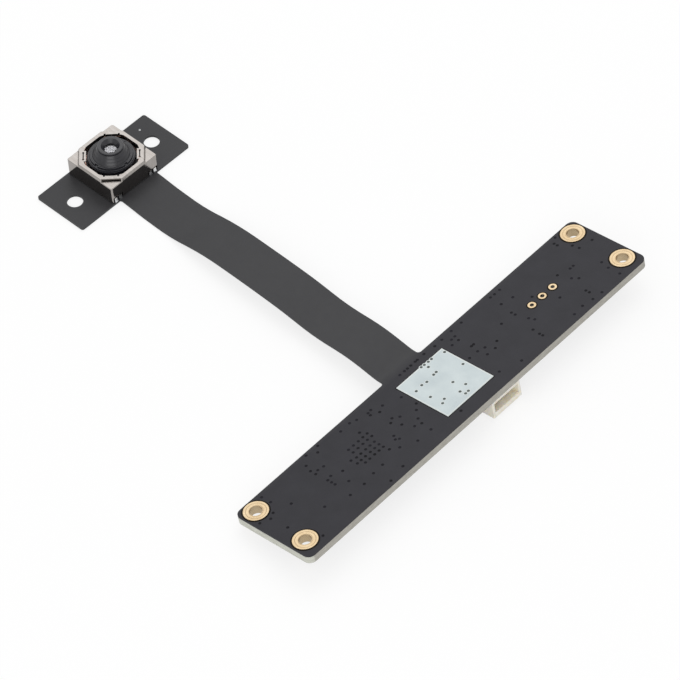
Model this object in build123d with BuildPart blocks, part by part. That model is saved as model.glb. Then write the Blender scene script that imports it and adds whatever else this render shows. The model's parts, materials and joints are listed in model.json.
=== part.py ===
# An autofocus camera module on a printed ribbon, with its long control board.
# Millimetres. The origin is where the lens axis meets the underside of the head,
# +Z looks out of the lens, +X runs along the ribbon to the board and +Y along the board.

import os
from math import atan, cos, degrees, radians, sin, tan

from build123d import *

os.makedirs("parts", exist_ok=True)

# Film and head tab
film_height = 0.15
stiffener_height = 0.2
tab_length = 20.0
tab_width = 8.7
tab_corner = 0.35
tab_hole_radius = 1.1
tab_hole_spacing = 14.33

# Can of the actuator
can_side = 8.5
can_rise = 2.8
can_wall = 0.15
can_corner = 0.3
can_edge = 0.08
# The middle of the top stands higher than its four corners
plateau_rise = 0.38
plateau_chord = 4.5
plateau_inset = 0.14
plateau_edge = 0.05
opening_side = 7.2
opening_radius = 3.82
plain_chord = 3.78
lip_chord = 3.4
lip_width = 1.9
lip_slit_chord = 3.76
lip_slit_length = 1.2
lip_slit_width = 0.15
notch_side = 0.26
corner_mark_length = 2.6
corner_slot_width = 0.16
groove_width = 0.1
groove_depth = 0.05

# Base, sensor and filter
ledge_height = 0.15
base_height = 0.65
base_clearance = 0.05
window_radius = 2.75
sensor_room_side = 6.6
sensor_room_height = 0.45
sensor_length = 5.9
sensor_width = 5.3
sensor_height = 0.2
filter_side = 6.2
filter_height = 0.15

# Terminals at the can's foot
terminal_width = 0.45
terminal_height = 0.55
terminal_spacing = 0.8
terminal_centre = 3.2
cut_out_width = 1.7
cut_out_height = 0.75
solder_foot = 0.1

# Lens carrier, coil, magnets and leaf springs
barrel_radius = 3.2
thread_clearance = 0.02
carrier_flat = 3.42
carrier_chord = 3.62
flange_overhang = 0.28
flange_height = 0.2
coil_height = 1.05
coil_thickness = 0.24
collar_radius = 3.45
collar_height = 0.15
spring_height = 0.04
spring_ring_width = 0.16
spring_ring_clearance = 0.03
spring_arm_radius = 3.9
spring_arm_width = 0.1
spring_arm_start = 6.0
magnet_chord = 4.25
magnet_lift = 0.12
clamp_flat = 3.86
clamp_chord = 4.3
yoke_clearance = 0.02

# Lens barrel, measured up from the tab
barrel_foot = 0.9
barrel_front = 5.02
front_ring_radius = 1.76
front_ring_height = 0.3
front_chamfer = 0.08
hood_radius = 1.27
hood_depth = 0.5
stop_radius = 0.85
stop_height = 0.12
cone_radius = 2.55
cone_foot = 3.44
shoulder_radius = 2.85
shoulder_height = 0.22
neck_radius = 3.06
neck_height = 0.12
key_count = 4
key_width = 0.5
key_depth = 0.22
front_lens_radius = 1.15
front_lens_height = 0.48
middle_lens_radius = 1.5
middle_lens_height = 0.5
middle_spacer_height = 0.25
rear_lens_radius = 2.4
rear_lens_height = 0.75
rear_ring_height = 0.25
ring_land = 0.45
lens_clearance = 0.02
# Each lens has a curved front inside this rim radius, and a flat back
front_lens_rim = 0.83
front_lens_bulge = 0.09
middle_lens_rim = 0.9
middle_lens_bulge = -0.1
rear_lens_rim = 1.0
rear_lens_bulge = 0.1

# Control board, tilted so that the connector's rear edge rests on the ground
board_length = 64.0
board_width = 13.0
board_thickness = 1.2
board_corner = 1.0
board_x = 60.0
board_y = 0.2
board_turn = 1.0
board_tilt = 8.65

# Ribbon
ribbon_width = 6.7
ribbon_head_y = 0.3
ribbon_board_y = -1.18
ribbon_flare = 0.45
# The film leaves the tab level and meets the board in its plane at these shares of the free run.
leave_share = 0.03
meet_share = 0.975
# Between them each wave corner has its share of the run and the height of the film's underside.
wave_shares = [0.08, 0.19, 0.327, 0.478, 0.622, 0.737, 0.872]
wave_heights = [0.03, 0.06, 1.62, 1.93, 2.03, 1.6, 2.46]
bend_share = 0.45

# Plated holes and pads
mount_spacing = 8.5
mount_end_gap = 1.95
mount_x = -0.4
mount_y = 0.08
mount_bore = 0.85
mount_ring = 1.65
plating = 0.05
pad_x = -0.18
pad_end_gap = 13.02
pad_pitch = 2.03
pad_count = 3
pad_bore = 0.28
pad_ring = 0.56
label_x = -0.16
label_y = 0.17
label_width = 8.94
label_length = 8.65
label_height = 0.03

# Connector under the board's right edge
socket_y = 4.03
socket_width = 5.25
socket_depth = 4.0
socket_height = 2.62
socket_room_width = 4.48
socket_room_height = 1.45
socket_room_depth = 3.3
socket_room_drop = 0.4
ear_width = 0.7
ear_depth = 1.7
ear_height = 1.5
contact_count = 4
contact_pitch = 1.0
contact_size = 0.3
contact_reach = 2.2
contact_tail = 0.7
contact_plate = 0.15
anchor_plate = 0.15
anchor_foot = 0.5

# Chips under the board
chip_gap = 0.05
bridge_side = 7.0
bridge_height = 0.85
bridge_x = -0.4
bridge_end_gap = 17.9
bridge_pad_count = 12
bridge_pad_pitch = 0.5
bridge_pad_width = 0.25
bridge_pad_length = 0.5
bridge_pad_out = 0.1
flash_x = 0.4
flash_end_gap = 8.4
flash_width = 3.9
flash_length = 4.9
flash_height = 1.4
flash_lead_pitch = 1.27
flash_lead_width = 0.4
regulator_width = 1.6
regulator_length = 2.9
regulator_height = 1.05
regulator_lead_pitch = 0.95
regulator_lead_width = 0.4
lead_plate = 0.15
lead_reach = 0.85
lead_foot = 0.45
crystal_x = -3.4
crystal_drop = 5.9
crystal_width = 2.5
crystal_length = 3.2
crystal_base_height = 0.35
crystal_lid_height = 0.35
crystal_lid_inset = 0.2
inductor_x = -1.6
inductor_y = 12.4
inductor_side = 3.0
inductor_height = 1.3
inductor_corner = 0.6
inductor_foot = 0.9
small_chip_length = 1.0
small_chip_width = 0.5
capacitor_height = 0.5
resistor_height = 0.35
big_chip_length = 1.6
big_chip_width = 0.8
big_chip_height = 0.8
end_share = 0.25
end_wrap = 0.02

# Heights above the ground
tab_top = stiffener_height + film_height
can_foot = tab_top + ledge_height
can_top = tab_top + can_rise
can_ceiling = can_top - can_wall
plateau_top = can_top + plateau_rise
base_top = tab_top + base_height
room_top = tab_top + sensor_room_height
inside_side = can_side - 2 * can_wall
carrier_foot = base_top + spring_height
coil_foot = carrier_foot + flange_height
flange_top = coil_foot + coil_height + flange_height

# The board's top face as a plane, and the height that rests its connector on the ground
socket_rear = board_width / 2 - socket_depth
board_z = (cos(radians(board_tilt)) * (board_thickness + socket_height)
           - sin(radians(board_tilt)) * socket_rear)
board_along = Vector(1, 0, 0).rotate(Axis.Y, -board_tilt).rotate(Axis.Z, board_turn)
board_up = Vector(0, 0, 1).rotate(Axis.Y, -board_tilt).rotate(Axis.Z, board_turn)
board_top = Plane(origin=(board_x, board_y, board_z), x_dir=board_along, z_dir=board_up)
board_under = board_top.offset(-board_thickness)
near_end = -board_length / 2
far_end = board_length / 2
mount_pitch = board_length - 2 * mount_end_gap
mount_places = [(mount_x + sx * mount_spacing / 2, mount_y + sy * mount_pitch / 2)
                for sx in (-1, 1) for sy in (-1, 1)]
pad_places = [(pad_x, far_end - pad_end_gap + (i - (pad_count - 1) / 2) * pad_pitch)
              for i in range(pad_count)]


def save(piece, name):
    """Label a finished piece and write it."""
    piece.part.label = name
    export_step(piece.part, f"parts/{name}.step")


def on_board(x, y, z=0.0):
    """A point of the board's frame in the frame of the part."""
    return board_top.from_local_coords(Vector(x, y, z))


def chamfered_square(flat, chord):
    """A square of half width flat, with its corners cut at the distance chord."""
    cut = 2 * flat - chord * 2 ** 0.5
    square = Rectangle(2 * flat, 2 * flat)
    chamfer(square.vertices(), cut)


def clipped_square(side):
    """A square that clears the rounded inner corners of the can."""
    square = Rectangle(side, side)
    chamfer(square.vertices(), can_corner - can_wall)


def corner_wedges(chord, inside, floor, height):
    """Four corner wedges between the can's walls and the diagonal at chord."""
    with BuildSketch(Plane.XY.offset(floor)) as wedges:
        clipped_square(inside)
        Rectangle(2 * chord, 2 * chord, rotation=45, mode=Mode.SUBTRACT)
    extrude(wedges.sketch, amount=height)


# The tab, ribbon and top ply of the board are one film
def tab_outline():
    RectangleRounded(tab_width, tab_length, tab_corner)
    with GridLocations(0, tab_hole_spacing, 1, 2):
        Circle(tab_hole_radius, mode=Mode.SUBTRACT)


def board_outline():
    RectangleRounded(board_width, board_length, board_corner)
    with Locations(*mount_places):
        Circle(mount_bore + plating, mode=Mode.SUBTRACT)
    with Locations(*pad_places):
        Circle(pad_bore, mode=Mode.SUBTRACT)


heading = Vector(1, 0, 0).rotate(Axis.Z, board_turn)
ribbon_side = Plane(origin=(0, 0, 0), x_dir=heading, z_dir=heading.cross(Vector(0, 0, 1)))
tab_edge = tab_width / 2
edge = ribbon_side.to_local_coords(on_board(-board_width / 2, 0, -film_height))
run = edge.X - tab_edge
slope = tan(radians(board_tilt))
corners = [(0, stiffener_height), (tab_edge + leave_share * run, stiffener_height)]
corners += [(tab_edge + share * run, height) for share, height in zip(wave_shares, wave_heights)]
corners += [(tab_edge + meet_share * run, edge.Y - (1 - meet_share) * run * slope), (edge.X, edge.Y)]


def bend_radii(points):
    """The radius at each corner that spends the same share of its shorter run."""
    radii = []
    for before, here, after in zip(points, points[1:], points[2:]):
        come = Vector(*here) - Vector(*before)
        go = Vector(*after) - Vector(*here)
        turn = radians(come.get_angle(go))
        radii.append(bend_share * min(come.length, go.length) / tan(turn / 2))
    return radii


with BuildPart() as flex_circuit:
    with BuildSketch(ribbon_side):
        with BuildLine():
            FilletPolyline(*corners, radius=bend_radii(corners))
            offset(amount=film_height, side=Side.LEFT)
        make_face()
    extrude(amount=tab_length / 2, both=True)
    with BuildSketch() as plan:
        half = ribbon_width / 2
        near_meet = on_board(-board_width / 2, ribbon_board_y - half)
        far_meet = on_board(-board_width / 2, ribbon_board_y + half)
        near_root = Vector(tab_edge, ribbon_head_y - half)
        far_root = Vector(tab_edge, ribbon_head_y + half)
        wide = Vector(0, 2 * ribbon_flare, 0)
        deep = Vector(tab_edge, 0, 0)
        Polygon((near_root.X, near_root.Y), (near_meet.X, near_meet.Y),
                (far_meet.X, far_meet.Y), (far_root.X, far_root.Y), align=None)
        tab_block = [near_root - wide - deep, near_root - wide, far_root + wide, far_root + wide - deep]
        Polygon(*[(p.X, p.Y) for p in tab_block], align=None)
        side = board_top.y_dir * (2 * ribbon_flare)
        board_block = [near_meet - side + deep, near_meet - side, far_meet + side, far_meet + side + deep]
        Polygon(*[(p.X, p.Y) for p in board_block], align=None)
        roots = [plan.vertices().sort_by_distance((p.X, p.Y, 0))[0]
                 for p in (near_root, far_root, near_meet, far_meet)]
        fillet(roots, ribbon_flare)
    extrude(amount=can_top * 2, both=True, mode=Mode.INTERSECT)
    with BuildSketch(Plane.XY.offset(stiffener_height)):
        tab_outline()
    extrude(amount=film_height)
    with BuildSketch(board_top):
        board_outline()
    extrude(amount=-film_height)
save(flex_circuit, "flex_circuit")

with BuildPart() as back_stiffener:
    with BuildSketch():
        tab_outline()
    extrude(amount=stiffener_height)
save(back_stiffener, "back_stiffener")

with BuildPart() as main_board:
    with BuildSketch(board_top.offset(-film_height)):
        board_outline()
    extrude(amount=film_height - board_thickness)
save(main_board, "main_board")


# Gold-plated screw holes: a sleeve through the board with a flat ring on each face
with BuildPart() as mounting_rings:
    for plane, radius, height in ((board_under.offset(-plating), mount_ring, plating),
                                  (board_under, mount_bore + plating, board_thickness),
                                  (board_top, mount_ring, plating)):
        with BuildSketch(plane):
            with Locations(*mount_places):
                Circle(radius)
                Circle(mount_bore, mode=Mode.SUBTRACT)
        extrude(amount=height)
save(mounting_rings, "mounting_rings")

with BuildPart() as test_pads:
    with BuildSketch(board_top):
        with Locations(*pad_places):
            Circle(pad_ring)
            Circle(pad_bore, mode=Mode.SUBTRACT)
    extrude(amount=plating)
save(test_pads, "test_pads")

with BuildPart() as label_patch:
    with BuildSketch(board_top):
        with Locations((label_x, label_y)):
            Rectangle(label_width, label_length)
    extrude(amount=label_height)
save(label_patch, "label_patch")

# Sensor die, glass filter and moulded base
with BuildPart() as image_sensor:
    with BuildSketch(Plane.XY.offset(tab_top)):
        Rectangle(sensor_length, sensor_width)
    extrude(amount=sensor_height)
save(image_sensor, "image_sensor")

with BuildPart() as ir_filter:
    with BuildSketch(Plane.XY.offset(room_top)):
        Rectangle(filter_side, filter_side)
    extrude(amount=-filter_height)
save(ir_filter, "ir_filter")

with BuildPart() as actuator_base:
    with BuildSketch(Plane.XY.offset(tab_top)):
        RectangleRounded(can_side, can_side, can_corner)
    extrude(amount=ledge_height)
    with BuildSketch(Plane.XY.offset(tab_top)):
        clipped_square(inside_side - 2 * base_clearance)
    extrude(amount=base_height)
    with BuildSketch(Plane.XY.offset(tab_top)):
        Rectangle(sensor_room_side, sensor_room_side)
    extrude(amount=sensor_room_height, mode=Mode.SUBTRACT)
    with BuildSketch(Plane.XY.offset(room_top)):
        Circle(window_radius)
    extrude(amount=base_height, mode=Mode.SUBTRACT)
save(actuator_base, "actuator_base")

# Terminals that come out under the can, each with its fillet of solder
terminal_places = [side * terminal_centre + step * terminal_spacing / 2
                   for side in (-1, 1) for step in (-1, 1)]
terminal_face = can_side / 2

with BuildPart() as actuator_terminals:
    with BuildSketch(Plane.XY.offset(can_foot)):
        with Locations(*[(terminal_face - can_wall / 2, y) for y in terminal_places]):
            Rectangle(can_wall, terminal_width)
    extrude(amount=terminal_height)
save(actuator_terminals, "actuator_terminals")

with BuildPart() as terminal_solder:
    for y in terminal_places:
        with BuildSketch(Plane.XZ.offset(-y - terminal_width / 2)):
            Polygon((terminal_face, tab_top), (terminal_face + solder_foot, tab_top),
                    (terminal_face, can_foot + terminal_height / 2), align=None)
        extrude(amount=terminal_width)
save(terminal_solder, "terminal_solder")


# Leaf springs: a ring for the carrier, four arms and four corner pads
def leaf_spring(floor):
    """A ring, an arm and a bridge to each corner, and the four corner pads."""
    ring = collar_radius + spring_ring_clearance
    quarter = 45
    arm_sweep = quarter - spring_arm_start
    with BuildSketch(Plane.XY.offset(floor)) as leaf:
        Circle(ring + spring_ring_width)
        Circle(ring, mode=Mode.SUBTRACT)
        for corner in range(4):
            pad_angle = quarter + 2 * quarter * corner
            root_angle = pad_angle - arm_sweep
            with BuildLine() as arm:
                arcs = [CenterArc((0, 0), spring_arm_radius + side * spring_arm_width / 2, root_angle,
                                  arm_sweep) for side in (-1, 1)]
                Line(arcs[0] @ 0, arcs[1] @ 0)
                Line(arcs[0] @ 1, arcs[1] @ 1)
            make_face(arm.line)
            for angle, inner, outer in ((root_angle, ring + spring_ring_width / 2, spring_arm_radius),
                                        (pad_angle, spring_arm_radius, clamp_chord + can_wall)):
                with PolarLocations((inner + outer) / 2, 1, start_angle=angle):
                    Rectangle(outer - inner, spring_arm_width)
    extrude(leaf.sketch, amount=spring_height)
    corner_wedges(clamp_chord, inside_side - 2 * yoke_clearance, floor, spring_height)


with BuildPart() as lower_spring:
    leaf_spring(base_top)
save(lower_spring, "lower_spring")

with BuildPart() as upper_spring:
    leaf_spring(flange_top)
save(upper_spring, "upper_spring")

with BuildPart() as corner_magnets:
    magnet_floor = carrier_foot + magnet_lift
    corner_wedges(magnet_chord, inside_side - 2 * yoke_clearance, magnet_floor, flange_top - magnet_floor)
save(corner_magnets, "corner_magnets")

with BuildPart() as spring_clamp:
    with BuildSketch(Plane.XY.offset(flange_top + spring_height)):
        clipped_square(inside_side - 2 * yoke_clearance)
        with BuildSketch(mode=Mode.PRIVATE) as clamp_hole:
            chamfered_square(clamp_flat, clamp_chord)
        add(clamp_hole.sketch, mode=Mode.SUBTRACT)
    extrude(amount=can_ceiling - flange_top - spring_height)
save(spring_clamp, "spring_clamp")

# Carrier with its winding
with BuildPart() as lens_carrier:
    for floor, height, over in ((carrier_foot, flange_height, flange_overhang),
                                (coil_foot, coil_height, 0.0),
                                (coil_foot + coil_height, flange_height, flange_overhang)):
        with BuildSketch(Plane.XY.offset(floor)):
            chamfered_square(carrier_flat + over, carrier_chord + over)
        extrude(amount=height)
    with BuildSketch(Plane.XY.offset(flange_top)):
        Circle(collar_radius)
    extrude(amount=collar_height)
    with BuildSketch(Plane.XY.offset(carrier_foot)):
        Circle(barrel_radius + thread_clearance)
    extrude(amount=can_top, mode=Mode.SUBTRACT)
save(lens_carrier, "lens_carrier")

with BuildPart() as voice_coil:
    with BuildSketch(Plane.XY.offset(coil_foot)):
        chamfered_square(carrier_flat + coil_thickness, carrier_chord + coil_thickness)
        with BuildSketch(mode=Mode.PRIVATE) as coil_core:
            chamfered_square(carrier_flat, carrier_chord)
        add(coil_core.sketch, mode=Mode.SUBTRACT)
    extrude(amount=coil_height)
save(voice_coil, "voice_coil")

# Lens stack, from the front ledge of the barrel down
stop_foot = tab_top + barrel_front - hood_depth - stop_height
front_lens_foot = stop_foot - front_lens_height
middle_lens_foot = front_lens_foot - middle_lens_height
spacer_foot = middle_lens_foot - middle_spacer_height
rear_lens_foot = spacer_foot - rear_lens_height

with BuildPart() as lens_barrel:
    foot = tab_top + barrel_foot
    front = tab_top + barrel_front
    with BuildSketch(Plane.XZ):
        with BuildLine():
            ring_foot = front - front_ring_height
            cone = tab_top + cone_foot
            shoulder_foot = cone - shoulder_height
            neck_foot = shoulder_foot - neck_height
            Polyline((front_ring_radius - front_chamfer, front), (front_ring_radius, front - front_chamfer),
                     (front_ring_radius, ring_foot), (cone_radius, cone),
                     (shoulder_radius, cone), (shoulder_radius, shoulder_foot),
                     (neck_radius, shoulder_foot), (neck_radius, neck_foot), (barrel_radius, neck_foot),
                     (barrel_radius, foot), (rear_lens_radius + lens_clearance, foot),
                     (rear_lens_radius + lens_clearance, spacer_foot),
                     (middle_lens_radius + lens_clearance, spacer_foot),
                     (middle_lens_radius + lens_clearance, front_lens_foot),
                     (front_lens_radius + lens_clearance, front_lens_foot),
                     (front_lens_radius + lens_clearance, stop_foot),
                     (stop_radius, stop_foot), (stop_radius, front - hood_depth),
                     (hood_radius, front), (front_ring_radius - front_chamfer, front))
        make_face()
    revolve(axis=Axis.Z)
    with BuildSketch(Plane.XY.offset(cone)):
        with PolarLocations(shoulder_radius, key_count):
            Rectangle(2 * key_depth, key_width)
    extrude(amount=-shoulder_height, mode=Mode.SUBTRACT)
save(lens_barrel, "lens_barrel")


def lens(name, foot, height, radius, rim, bulge):
    """A round lens whose front bulges, or is hollowed, inside its flat rim."""
    with BuildPart() as piece:
        with BuildSketch(Plane.XZ):
            with BuildLine():
                top = foot + height
                TangentArc((0, top + bulge), (rim, top), tangent=(1, 0))
                Polyline((rim, top), (radius, top), (radius, foot), (0, foot), (0, top + bulge))
            make_face()
        revolve(axis=Axis.Z)
    save(piece, name)


lens("front_lens", front_lens_foot, front_lens_height, front_lens_radius, front_lens_rim, front_lens_bulge)
lens("middle_lens", middle_lens_foot, middle_lens_height, middle_lens_radius,
     middle_lens_rim, middle_lens_bulge)
lens("rear_lens", rear_lens_foot, rear_lens_height, rear_lens_radius, rear_lens_rim, rear_lens_bulge)

with BuildPart() as lens_spacers:
    for floor, height, radius in ((spacer_foot, middle_spacer_height, middle_lens_radius),
                                  (rear_lens_foot - rear_ring_height, rear_ring_height, rear_lens_radius)):
        with BuildSketch(Plane.XY.offset(floor)):
            Circle(radius)
            Circle(radius - ring_land, mode=Mode.SUBTRACT)
        extrude(amount=height)
save(lens_spacers, "lens_spacers")


# Drawn can with its formed opening
def diagonal(radius, angle):
    """The place on a diagonal of the can's top, turned to face along it."""
    return PolarLocations(radius, 1, start_angle=angle)


def lip_notches(chord, spacing):
    """Two small square notches, one on each side of a diagonal."""
    with Locations((chord, 0)):
        with GridLocations(0, spacing, 1, 2):
            Rectangle(notch_side, notch_side)


with BuildPart() as shield_can:
    with BuildSketch(Plane.XY.offset(can_foot)):
        RectangleRounded(can_side, can_side, can_corner)
    extrude(amount=can_top - can_foot)
    chamfer(shield_can.faces().sort_by(Axis.Z)[-1].edges(), can_edge)
    with BuildSketch(Plane.XY.offset(can_foot)):
        chamfered_square(can_side / 2, plateau_chord)
    extrude(amount=can_top - can_foot)
    with BuildSketch(Plane.XY.offset(can_top)):
        chamfered_square(can_side / 2, plateau_chord)
    extrude(amount=plateau_rise, taper=degrees(atan(plateau_inset / plateau_rise)))
    chamfer(shield_can.faces().sort_by(Axis.Z)[-1].edges(), plateau_edge)
    with BuildSketch(Plane.XY.offset(can_foot)):
        RectangleRounded(inside_side, inside_side, can_corner - can_wall)
    extrude(amount=can_ceiling - can_foot, mode=Mode.SUBTRACT)
    with BuildSketch(Plane.XY.offset(can_ceiling)):
        chamfered_square(inside_side / 2 - plateau_inset, plateau_chord - plateau_inset - can_wall)
    extrude(amount=plateau_rise, mode=Mode.SUBTRACT)
    with BuildSketch(Plane.XY.offset(plateau_top - can_wall)):
        Circle(opening_radius)
        Rectangle(opening_side, opening_side, mode=Mode.INTERSECT)
        for angle in (-45, 135):
            with diagonal(plain_chord + lip_width / 2, angle):
                Rectangle(lip_width, lip_width, mode=Mode.SUBTRACT)
            with PolarLocations(0, 1, start_angle=angle):
                lip_notches(plain_chord, lip_width)
        for angle in (45, 225):
            with diagonal(lip_chord + lip_width / 2, angle):
                Rectangle(lip_width, lip_width, mode=Mode.SUBTRACT)
            with diagonal(lip_slit_chord, angle):
                Rectangle(lip_slit_width, lip_slit_length)
            with PolarLocations(0, 1, start_angle=angle):
                lip_notches(lip_slit_chord, lip_slit_length)
    extrude(amount=can_wall, mode=Mode.SUBTRACT)
    step_chord = plateau_chord - plateau_inset / 2
    with BuildSketch(Plane.XY.offset(can_ceiling)):
        with diagonal(step_chord, -45):
            Rectangle(corner_slot_width, corner_mark_length)
    extrude(amount=plateau_top - can_ceiling, mode=Mode.SUBTRACT)
    with BuildSketch(Plane.XY.offset(can_top - groove_depth)):
        for angle in (45, 135, 225):
            with diagonal(step_chord + groove_width, angle):
                Rectangle(groove_width, corner_mark_length)
    extrude(amount=plateau_rise, mode=Mode.SUBTRACT)
    with BuildSketch(Plane.XY.offset(can_foot)):
        with Locations((terminal_face, -terminal_centre), (terminal_face, terminal_centre)):
            Rectangle(4 * can_wall, cut_out_width)
    extrude(amount=cut_out_height, mode=Mode.SUBTRACT)
save(shield_can, "shield_can")

# Connector: an open white housing with ears, its contacts and its anchors
socket_front = board_width / 2
room_drop = socket_room_drop + socket_room_height / 2
contact_offsets = [(i - (contact_count - 1) / 2) * contact_pitch for i in range(contact_count)]


def across(y):
    """The board's cross-section plane at the place y along the board."""
    return Plane(origin=on_board(0, y, -board_thickness), x_dir=board_top.x_dir, z_dir=-board_top.y_dir)


with BuildPart() as connector_housing:
    with BuildSketch(board_under):
        with Locations((socket_front - socket_depth / 2, socket_y)):
            Rectangle(socket_depth, socket_width)
    extrude(amount=-socket_height)
    with BuildSketch(board_under):
        with Locations((socket_rear + ear_depth / 2, socket_y)):
            Rectangle(ear_depth, socket_width + 2 * ear_width)
    extrude(amount=-ear_height)
    with BuildSketch(board_under.offset(-socket_room_drop)):
        with Locations((socket_front - socket_room_depth / 2, socket_y)):
            Rectangle(socket_room_depth, socket_room_width)
    extrude(amount=-socket_room_height, mode=Mode.SUBTRACT)
    with BuildSketch(board_under.offset(-room_drop + contact_size / 2)):
        with Locations(*[(socket_rear, socket_y + offset) for offset in contact_offsets]):
            Rectangle(2 * socket_depth - 2 * socket_room_depth, contact_size)
    extrude(amount=-contact_size, mode=Mode.SUBTRACT)
save(connector_housing, "connector_housing")

with BuildPart() as connector_contacts:
    for offset in contact_offsets:
        with BuildSketch(across(socket_y + offset - contact_size / 2)):
            with BuildLine():
                tip = socket_front - socket_room_depth + contact_reach
                back = socket_rear - contact_plate
                high = -room_drop + contact_size / 2
                Polyline((tip, high), (tip, high - contact_size), (back, high - contact_size),
                         (back, -contact_plate), (back - contact_tail, -contact_plate),
                         (back - contact_tail, 0), (socket_rear, 0), (socket_rear, high), (tip, high))
            make_face()
        extrude(amount=-contact_size)
save(connector_contacts, "connector_contacts")

with BuildPart() as connector_tabs:
    for side in (-1, 1):
        face = socket_y + side * (socket_width / 2 + ear_width)
        with BuildSketch(board_under):
            with Locations((socket_rear + ear_depth / 2, face + side * anchor_plate / 2)):
                Rectangle(ear_depth, anchor_plate)
        extrude(amount=-ear_height)
        with BuildSketch(board_under):
            with Locations((socket_rear + ear_depth / 2, face + side * anchor_foot / 2)):
                Rectangle(ear_depth, anchor_foot)
        extrude(amount=-anchor_plate)
save(connector_tabs, "connector_tabs")


# Chips under the board
bridge_y = near_end + bridge_end_gap
crystal_y = bridge_y + crystal_drop
flash_y = near_end + flash_end_gap


def block(x, y, width, length, height, lift=0.0):
    """A block under the board, its top lift below the laminate."""
    with BuildSketch(board_under.offset(-lift)) as base:
        with Locations((x, y)):
            Rectangle(width, length)
    extrude(base.sketch, amount=-height)


def gull_leads(x, places, body_width, body_height, width):
    """Bent leads from both sides of a body; places holds (side, y) pairs."""
    for side, y in places:
        wall = x + side * body_width / 2
        out = wall + side * (lead_reach - lead_foot)
        end = wall + side * lead_reach
        middle = -chip_gap - body_height / 2
        with BuildSketch(across(y - width / 2)) as bend:
            Polygon((wall, middle), (out, middle), (out, -lead_plate), (end, -lead_plate), (end, 0),
                    (out - side * lead_plate, 0), (out - side * lead_plate, middle + lead_plate),
                    (wall, middle + lead_plate), align=None)
        extrude(bend.sketch, amount=-width)


with BuildPart() as bridge_chip:
    block(bridge_x, bridge_y, bridge_side, bridge_side, bridge_height, chip_gap)
save(bridge_chip, "bridge_chip")

with BuildPart() as bridge_pads:
    reach = bridge_side / 2 + bridge_pad_out - bridge_pad_length / 2
    for turn in (0, 90, 180, 270):
        with BuildSketch(board_under) as row:
            with Locations(Location((bridge_x, bridge_y, 0), (0, 0, turn))):
                with Locations((reach, 0)):
                    with GridLocations(0, bridge_pad_pitch, 1, bridge_pad_count):
                        Rectangle(bridge_pad_length, bridge_pad_width)
        extrude(row.sketch, amount=-chip_gap)
save(bridge_pads, "bridge_pads")

flash_places = [(side, flash_y + (i - 1.5) * flash_lead_pitch) for side in (-1, 1) for i in range(4)]
with BuildPart() as flash_chip:
    block(flash_x, flash_y, flash_width, flash_length, flash_height, chip_gap)
save(flash_chip, "flash_chip")

with BuildPart() as flash_leads:
    gull_leads(flash_x, flash_places, flash_width, flash_height, flash_lead_width)
save(flash_leads, "flash_leads")

regulator_spots = [(3.6, 11.6), (3.6, 16.2)]
with BuildPart() as regulators:
    for x, y in regulator_spots:
        block(x, y, regulator_width, regulator_length, regulator_height, chip_gap)
save(regulators, "regulators")

with BuildPart() as regulator_leads:
    for x, y in regulator_spots:
        steps = [(-1, -1), (-1, 0), (-1, 1), (1, -1), (1, 1)]
        places = [(side, y + step * regulator_lead_pitch) for side, step in steps]
        gull_leads(x, places, regulator_width, regulator_height, regulator_lead_width)
save(regulator_leads, "regulator_leads")

with BuildPart() as crystal:
    block(crystal_x, crystal_y, crystal_width, crystal_length, crystal_base_height, chip_gap)
    lid_width = crystal_width - 2 * crystal_lid_inset
    lid_length = crystal_length - 2 * crystal_lid_inset
    block(crystal_x, crystal_y, lid_width, lid_length, crystal_lid_height, chip_gap + crystal_base_height)
save(crystal, "crystal")

with BuildPart() as power_inductor:
    with BuildSketch(board_under.offset(-chip_gap)):
        with Locations((inductor_x, inductor_y)):
            RectangleRounded(inductor_side, inductor_side, inductor_corner)
    extrude(amount=-inductor_height)
save(power_inductor, "power_inductor")

with BuildPart() as package_pads:
    for x, y, reach, foot in ((inductor_x, inductor_y, inductor_side / 2, inductor_foot),
                              (crystal_x, crystal_y, crystal_length / 2, inductor_foot)):
        for side in (-1, 1):
            block(x, y + side * (reach - foot / 2), crystal_width - 2 * crystal_lid_inset, foot, chip_gap)
save(package_pads, "package_pads")

# Small chips: places and whether each lies along the board
capacitor_spots = [(-5.4, 1.2, 1), (-5.4, 3.4, 1), (-4.2, 15.6, 1), (-4.2, 18.0, 1), (0.9, 9.0, 0)]
capacitor_spots += [(bridge_x + dx, bridge_y + dy, 1)
                    for dx, dy in ((-4.8, -5.1), (-4.8, -3.1), (-4.8, 1.5),
                                   (5.0, -4.3), (5.0, -2.3), (5.0, 1.9), (5.0, 3.9))]
capacitor_spots += [(bridge_x + dx, bridge_y + 5.2, 0) for dx in (-0.8, 1.0, 2.8)]
resistor_spots = [(0.3, 3.4, 1), (0.3, 5.0, 1), (-1.6, 3.4, 1), (-1.6, 5.0, 1), (1.0, 20.6, 0)]
resistor_spots += [(crystal_x + dx, crystal_y + crystal_length, 0) for dx in (-1.0, 1.0, 3.0)]
resistor_spots += [(flash_x + dx, flash_y + dy, 1)
                   for dx, dy in ((-3.6, 1.0), (-3.6, -1.0), (4.0, 0.6), (4.0, -1.4))]
big_spots = [(-1.6, 8.6, 0), (-1.6, 16.4, 0), (0.9, 16.4, 1)]
chip_kinds = [(capacitor_spots, small_chip_width, small_chip_length, capacitor_height),
              (resistor_spots, small_chip_width, small_chip_length, resistor_height),
              (big_spots, big_chip_width, big_chip_length, big_chip_height)]


def chip_bodies(kind):
    """The middles of the small chips of a kind, lying across or along the board."""
    spots, width, length, height = kind
    middle = length * (1 - 2 * end_share)
    for x, y, along in spots:
        block(x, y, width if along else middle, middle if along else width, height)


with BuildPart() as chip_capacitors:
    chip_bodies(chip_kinds[0])
    chip_bodies(chip_kinds[2])
save(chip_capacitors, "chip_capacitors")

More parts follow.
